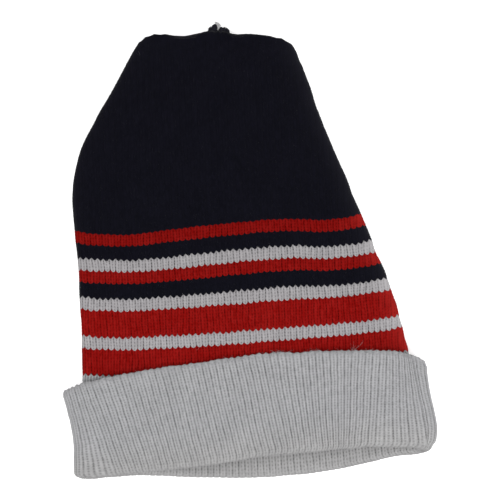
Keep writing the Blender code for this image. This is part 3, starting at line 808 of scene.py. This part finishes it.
def make_material(name, yarn):
    """Knitted yarn: mottled strands, with painted shade in the furrows and holes between them."""
    material = bpy.data.materials.new(name + "_knit")
    material.use_nodes = True
    nodes = material.node_tree.nodes
    links = material.node_tree.links

    def add(kind, inputs, **settings):
        node = nodes.new("ShaderNode" + kind)
        for key, value in settings.items():
            setattr(node, key, value)
        wire(links, node, inputs)
        return node.outputs

    def number(operation, *values):
        return add("Math", dict(enumerate(values)), operation=operation)["Value"]

    def vector(operation, *values):
        return add("VectorMath", dict(enumerate(values)), operation=operation)["Vector"]

    def ramp(value, low, high, start, stop, way="SMOOTHSTEP"):
        inputs = {"Value": value, "From Min": low, "From Max": high, "To Min": start, "To Max": stop}
        return add("MapRange", inputs, interpolation_type=way)["Result"]

    def noise(scale):
        return add("TexNoise", {"Scale": scale, "Detail": 3.0, "Vector": place})["Fac"]

    def luck(cells):
        """A random number for each whole cell."""
        return add("TexWhiteNoise", {"Vector": vector("FLOOR", cells)}, noise_dimensions="2D")["Value"]

    def attribute(title):
        return add("Attribute", {}, attribute_name=title)["Fac"]

    def mix(first, second, factor):
        return add("Mix", {"A": first, "B": second, "Factor": factor}, data_type="RGBA")["Result"]

    stitch = add("UVMap", {}, uv_map="stitch")["UV"]
    wale, course, _ = add("SeparateXYZ", {"Vector": stitch})
    place = add("TexCoord", {})["Object"]

    # Painted shade in the furrows between the wales, uneven from stitch to stitch, and in the holes in their
    # middles
    edge = number("ABSOLUTE", number("MULTIPLY_ADD", number("FRACT", wale), 2.0, -1.0))
    step = number("ABSOLUTE", number("SUBTRACT", number("FRACT", course), 0.45))
    uneven = number("MULTIPLY_ADD", luck(vector("ADD", stitch, (0.5, 0.05, 0.0))), 0.9, 0.5)
    furrow = number("MULTIPLY", ramp(edge, 0.64, 1.0, 0.0, yarn.furrow), ramp(step, 0.1, 0.45, 0.5, 1.15))
    furrow = number("MULTIPLY", furrow, uneven)
    hole = number("MULTIPLY", ramp(edge, 0.4, 0.0, 0.0, yarn.hole), ramp(step, 0.08, 0.38, 1.15, 0.3))
    dark = number("MULTIPLY", number("MAXIMUM", furrow, hole), attribute("relief"))

    # The yarn's own variation: from strand to strand, in patches and in single fibres
    strands = vector("MULTIPLY", stitch, (2.0, 1.0, 0.0))
    fibres = noise(1700.0)
    tone = number("MULTIPLY_ADD", fibres, 1.4, -0.75)
    tone = number("MULTIPLY_ADD", noise(60.0), 0.6, tone)
    tone = number("MULTIPLY_ADD", luck(strands), 0.45, tone)
    colour = mix((*yarn.dark, 1.0), (*yarn.light, 1.0), tone)
    # The fade attribute darkens or lightens: the bands' tones, painted shade on the cuff's fold and painted
    # light inside it
    bright = number("MULTIPLY", number("SUBTRACT", 1.0, dark), number("SUBTRACT", 1.0, attribute("fade")))
    colour = add("VectorMath", {0: colour, "Scale": bright}, operation="SCALE")["Vector"]
    # Painted sheen: towards the side folds the colour is mixed with a lighter one
    colour = mix(colour, (*yarn.worn, 1.0), attribute("worn"))
    # Less blue towards the mouth
    if yarn.aged:
        to_mouth = ramp(course, 20.0, 36.0, 0.0, 1.0)
        tint = vector("MULTIPLY_ADD", to_mouth, (0.0, -0.3 * yarn.aged, -yarn.aged), (1.0, 1.0, 1.0))
        colour = vector("MULTIPLY", colour, tint)

    # Twisted plies, fibres and holes too fine for the mesh
    ply = add("TexWave", {"Scale": 1.1, "Distortion": 1.2, "Detail": 1.0, "Vector": strands},
              wave_type="BANDS", bands_direction="DIAGONAL")["Fac"]
    height = number("MULTIPLY_ADD", dark, -1.2, number("MULTIPLY", fibres, 0.6))
    height = number("MULTIPLY_ADD", ply, 0.5, height)
    bump = add("Bump", {"Strength": 0.6, "Distance": 0.00025, "Height": height})["Normal"]
    wire(links, nodes["Principled BSDF"], {
        "Base Color": colour, "Roughness": ramp(fibres, 0.0, 1.0, 0.82, 0.97, "LINEAR"), "Metallic": 0.0,
        "Sheen Weight": yarn.sheen, "Sheen Roughness": 0.45, "Specular IOR Level": yarn.gloss,
        "Normal": bump})
    return material


MATERIALS = {name: make_material(name, yarn) for name, yarn in YARNS.items()}


# Half widths of the loose fibres, and the least height over the surface at which they lie
FIBRE_RADIUS = 0.000024
FUZZ_RADIUS = 0.000032
WISP_RADIUS = 0.000034
LINT_RADIUS = 0.000008
FRAY_RADIUS = 0.00007
FIBRE_LIFT = 0.00003
FUZZ_COUNT = 1500
WISP_COUNT = 60
LONG_WISPS = 5


def tube_along(path, radius, sides):
    """Points of a round tube of varying radius along a path, by steps and sides."""
    ahead = unit(np.gradient(path, axis=0))
    aside = np.cross(ahead[0], (0.3, 0.2, 0.9))
    rings = []
    for middle, way, wide in zip(path, ahead, radius):
        aside = aside - way * np.dot(aside, way)
        aside = aside / np.linalg.norm(aside)
        over = np.cross(way, aside)
        rings.append([middle + wide * (math.cos(angle) * aside + math.sin(angle) * over)
                      for angle in 2 * math.pi * np.arange(sides) / sides])
    return rings


def tube_piece(name, points, yarn):
    """One piece of many closed tubes, an array of tubes by steps by sides by three."""
    count, steps, sides, _ = points.shape
    low = np.arange((steps - 1) * sides).reshape(-1, sides)
    after = np.roll(low, -1, axis=1)
    round_it = np.stack([low, after, after + sides, low + sides], axis=2).reshape(-1, 4)
    ends = np.stack([low[0, ::-1], low[-1] + sides])
    base = steps * sides * np.arange(count)[:, None, None]
    faces = (round_it + base).reshape(-1, 4).tolist() + (ends + base).reshape(-1, sides).tolist()
    mesh = bpy.data.meshes.new(name)
    mesh.from_pydata(points.reshape(-1, 3).tolist(), [], faces)
    return finish_piece(name, mesh, yarn)


def hairs(name, paths, radius, yarn):
    """Fine fibres as three-sided tubes along paths, an array of hairs by points by three."""
    paths[:, :, 2] = np.maximum(paths[:, :, 2], FIBRE_LIFT)
    ahead = unit(np.gradient(paths, axis=1))
    aside = unit(np.cross(ahead, np.array([0.31, 0.22, 0.92])))
    over = np.cross(ahead, aside)
    widths = radius * (1 - 0.6 * np.linspace(0, 1, paths.shape[1])[:, None] ** 2)
    points = [paths + (math.cos(angle) * aside + math.sin(angle) * over) * widths
              for angle in 2 * math.pi * np.arange(3) / 3]
    tube_piece(name, np.stack(points, axis=2), yarn)


def loose_fibres(name, skin, count, length, yarn, seed):
    """Short bent fibres that stand off the knit all over."""
    grid, normal = skin
    rng = np.random.default_rng(seed)
    row = rng.integers(1, grid.shape[0] - 1, count)
    wale = rng.integers(0, grid.shape[1], count)
    root = grid[row, wale]
    out = normal[row, wale]
    lie = rng.normal(size=(count, 3))
    lie -= out * np.sum(lie * out, axis=1, keepdims=True)
    lie = unit(lie)
    turn = np.cross(out, lie)
    reach = length * rng.uniform(0.45, 1.0, (count, 1))
    lift = rng.uniform(0.15, 0.8, (count, 1))
    curl = rng.normal(0, 0.6, (count, 1))
    drop = rng.uniform(0.0, 0.7, (count, 1))
    paths = [root + reach * (lie * t + out * (lift * t - drop * lift * t * t) + turn * curl * t * t)
             for t in (0.0, 0.5, 1.0)]
    hairs(name, np.stack(paths, axis=1), FIBRE_RADIUS, yarn)


def place_on(skin, x, y):
    """The point of a skin's upper side nearest to a place seen from above."""
    grid = skin[0]
    front = grid[:, :grid.shape[1] // 2].reshape(-1, 3)
    return front[np.argmin((front[:, 0] - x) ** 2 + (front[:, 1] - y) ** 2)]


def edge_fibres(skin):
    """Fuzz along the cuff's free edge, and a few long wisps that lie over the lowest stripe."""
    grid = skin[0]
    rng = np.random.default_rng(61)
    half = int(grid.shape[1] * 0.58)
    count = FUZZ_COUNT
    roots = grid[rng.integers(0, 2, count), rng.integers(0, half, count)]
    aim = rng.normal(size=(count, 3)) * (0.75, 0.35, 0.35) + (0, 0.5, 0.1)
    reach = rng.uniform(0.0006, 0.0024, (count, 1))
    curl = rng.normal(0, 0.5, (count, 3)) * (1, 0.4, 0.3)
    paths = np.stack([roots + reach * (aim * t + curl * t * t) for t in (0.0, 0.5, 1.0)], axis=1)
    hairs("edge_fuzz", paths, FUZZ_RADIUS, "fuzz")

    wisps = []
    for index in range(WISP_COUNT):
        long = index < LONG_WISPS
        x = rng.normal(0.0606, 0.003) if long else rng.uniform(-0.02, 0.093)
        root = place_on(skin, x, 0.2) + (0, 0, 0.0003)
        reach = rng.uniform(0.004, 0.0085) if long else rng.uniform(0.001, 0.0026)
        bow = rng.normal(0, 0.35)
        lean = rng.normal(0.25, 0.35) if long else rng.normal(0, 1.2)
        path = []
        for t in np.linspace(0, 1, 9):
            rise = 0.0008 * math.sin(math.pi * min(1.0, 1.3 * t)) - (0.0014 * t if long else 0.0)
            side = reach * (lean * t + bow * math.sin(2.6 * t) * t)
            path.append(root + np.array([side, reach * t, rise]))
        wisps.append(path)
    hairs("edge_wisps", np.array(wisps), WISP_RADIUS, "pale_yarn")


def lint(skin):
    """A few pale threads of lint on the crown's left shoulder."""
    rng = np.random.default_rng(62)
    seat = place_on(skin, -0.0672, 0.118)
    paths = []
    for _ in range(5):
        spin = rng.uniform(0, 2 * math.pi)
        wide = rng.uniform(0.0006, 0.0013)
        path = []
        for t in np.linspace(0, 1, 9):
            turn = spin + 3.0 * t
            path.append(seat + np.array([0.6 * wide * math.cos(turn), 1.5 * wide * math.sin(turn),
                                         0.0003 + 0.0003 * math.sin(3 * t + spin)]))
        paths.append(path)
    hairs("lint", np.array(paths), LINT_RADIUS, "pale_yarn")


def tuft_seat():
    """The point that the tuft stands on."""
    return knot_axis() + SHIFT + (0.0, KNOT_SEAT, 0.0)


# Lobes of the tuft: their middles and half sizes as shares of the knot's width, height and depth
LOBES = table("across up wide tall deep wales",
    (-0.158, 0.28, 0.18, 0.7, 0.46, 5),
    (-0.05, 0.02, 0.12, 0.46, 0.4, 4),
    (-0.305, 0.1, 0.155, 0.54, 0.5, 5),
    (-0.368, 0.33, 0.074, 0.3, 0.3, 3),
    (0.11, 0.03, 0.165, 0.62, 0.5, 5),
    (0.235, 0.03, 0.15, 0.6, 0.46, 5),
    (0.325, -0.04, 0.13, 0.56, 0.42, 4),
    (0.356, 0.14, 0.08, 0.3, 0.3, 3),
    (-0.01, -0.27, 0.53, 0.46, 0.46, 14),
)


def make_lobe(name, lobe):
    """One lobe of the tuft, a pouch of the same knit."""
    centre = tuft_seat() + (lobe.across * KNOT_WIDTH, lobe.up * KNOT_HEIGHT, 0.0)
    radii = np.array([lobe.wide * KNOT_WIDTH, lobe.tall * KNOT_HEIGHT, lobe.deep * KNOT_DEPTH])
    count = lobe.wales * 8
    turns = np.arange(count) / count
    wales = turns * lobe.wales
    rows = []
    for step in range(1, 24):
        v = 6.0 * step / 24
        high = math.pi * step / 24
        depth = 0.35 * stitch_depth(wales, v, SMOOTH) + 0.0001 * (1 + wander(turns, v, 71, 4, 4.0))
        dent = 1 - 0.08 * (1 + wander(turns, 4 * lobe.across + v, 72, 4, 3.0)) * math.sin(high)
        spoke = np.stack([-np.cos(2 * math.pi * turns) * math.sin(high), np.full(count, math.cos(high)),
                          np.sin(2 * math.pi * turns) * math.sin(high)], axis=1)
        points = centre + (radii - depth[:, None]) * spoke * dent[:, None]
        rows.append(Row(points, wales, v, 1.0))
    piece = strip_object(name, rows, turns, "tuft", capped=True)
    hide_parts("top_knot")
    return skin_of(rows)


# Strands of the tying yarn's cut end: places across in knot widths, up in tail lengths
STRANDS = (
    ((-0.035, 0.14), (-0.03, 0.3), (0.0, 0.46), (0.012, 0.6), (-0.02, 0.78), (-0.08, 0.88)),
    ((-0.02, 0.2), (-0.005, 0.38), (0.03, 0.52), (0.045, 0.62), (0.03, 0.72), (-0.01, 0.82)),
    ((-0.03, 0.44), (-0.03, 0.6), (-0.05, 0.75), (-0.085, 0.86), (-0.12, 0.91)),
)


def make_tail():
    """The cut end of the tying yarn: strands of two twisted plies, and what frays off them."""
    rng = np.random.default_rng(3)
    seat = tuft_seat()
    tubes = []
    frays = []
    for strand in STRANDS:
        knots = np.linspace(0, 1, len(strand))
        walk = np.linspace(0, 1, 26)
        x = seat[0] + ease(knots, [aside for aside, _ in strand], walk) * KNOT_WIDTH
        y = seat[1] + ease(knots, [up for _, up in strand], walk) * TAIL_LENGTH
        z = seat[2] + 0.0012 + 0.0014 * np.sin(2.2 * walk)
        middle = np.stack([x, y, z], axis=1)
        for phase in (0.0, math.pi):
            twist = phase + 2 * math.pi * walk * 2.4
            offset = np.stack([np.cos(twist), 0.3 * np.cos(twist), np.sin(twist)], axis=1) * 0.00022
            swell = 0.00034 * (0.55 + 0.45 * np.sin(math.pi * np.clip(walk * 0.9 + 0.05, 0, 1)))
            tubes.append(tube_along(middle + offset * (1 + walk[:, None]), swell, 7))
        for _ in range(34):
            root = middle[rng.integers(14, 26)]
            aim = (middle[-1] - middle[-4]) * 1.5 + rng.normal(0, 0.0005, 3)
            curl = rng.normal(0, 0.0004, 3)
            frays.append([root + aim * t + curl * t * t for t in (0.0, 0.35, 0.7, 1.0)])
    piece = tube_piece("tail_strands", np.array(tubes), "pale_yarn")
    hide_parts("yarn_tail")
    hairs("tail_fray", np.array(frays), FRAY_RADIUS, "pale_yarn")


crown_skin = make_crown()
skins = {}
row = BANDS[0].rows
for band in BANDS[1:]:
    skins[band.name] = make_stripe(band, row)
    row += band.rows
cuff_skin = make_cuff()
for index, lobe in enumerate(LOBES):
    title = "tuft_lobe_" + str(index + 1)
    loose_fibres(title + "_fuzz", make_lobe(title, lobe), 160, 0.0013, "tuft", 80 + index)
make_tail()
loose_fibres("crown_fibres", crown_skin, 4400, 0.0022, "navy_yarn", 41)
for index, band in enumerate(BANDS[1:]):
    loose_fibres(band.name + "_fibres", skins[band.name], 110 * band.rows, 0.002, band.yarn, 50 + index)
loose_fibres("cuff_fibres", cuff_skin, 5000, 0.0022, "cuff_yarn", 42)
edge_fibres(cuff_skin)
lint(crown_skin)


FLOOR_HALF = 6.0
FLOOR_TONE = 0.85
FLOOR_GLOW = 0.45  # its own light, which keeps it as white as a lit paper ground
SKY_STRENGTH = 0.925
LENS = 250.0
SENSOR = 36.0
VIEW_WIDTH = 0.3  # what the camera sees, in metres
LAMPS = table("name place size power",
    ("key", (0.2, -0.85, 1.5), 0.9, 15.8),
    ("fill", (-0.9, 0.5, 1.4), 1.2, 8.0),
    ("side", (1.6, 0.1, 0.55), 0.8, 4.0),
    ("low", (0.05, -1.5, 0.95), 1.1, 8.6),
)


def make_floor():
    """A pale floor just under the hat."""
    mesh = bpy.data.meshes.new("floor")
    low, high = -FLOOR_HALF, FLOOR_HALF
    mesh.from_pydata([(low, low, 0), (high, low, 0), (high, high, 0), (low, high, 0)], [], [(0, 1, 2, 3)])
    material = bpy.data.materials.new("floor_paper")
    material.use_nodes = True
    wire(None, material.node_tree.nodes["Principled BSDF"], {
        "Base Color": (FLOOR_TONE, FLOOR_TONE, FLOOR_TONE, 1.0), "Emission Color": (1.0, 1.0, 1.0, 1.0),
        "Emission Strength": FLOOR_GLOW, "Roughness": 0.9, "Specular IOR Level": 0.1})
    mesh.materials.append(material)
    put("floor", mesh, (0.0, 0.0, -0.0003))


def make_studio():
    """The floor, an even white sky, soft round lamps, and the camera straight above."""
    scene = bpy.context.scene
    scene.view_settings.view_transform = "Standard"
    make_floor()
    scene.world = bpy.data.worlds.new("studio")
    scene.world.use_nodes = True
    wire(None, scene.world.node_tree.nodes["Background"],
         {"Color": (1.0, 1.0, 1.0, 1.0), "Strength": SKY_STRENGTH})
    for lamp in LAMPS:
        data = bpy.data.lights.new(lamp.name, "AREA")
        data.shape = "DISK"
        data.size = lamp.size
        data.energy = lamp.power
        thing = put(lamp.name, data, lamp.place)
        thing.rotation_euler = (-Vector(lamp.place)).to_track_quat("-Z", "Y").to_euler()
    data = bpy.data.cameras.new("camera")
    data.lens = LENS
    data.sensor_width = SENSOR
    data.clip_end = 60.0
    scene.camera = put("camera", data, (0.0, -0.0003, 0.012 + VIEW_WIDTH * LENS / SENSOR))


make_studio()
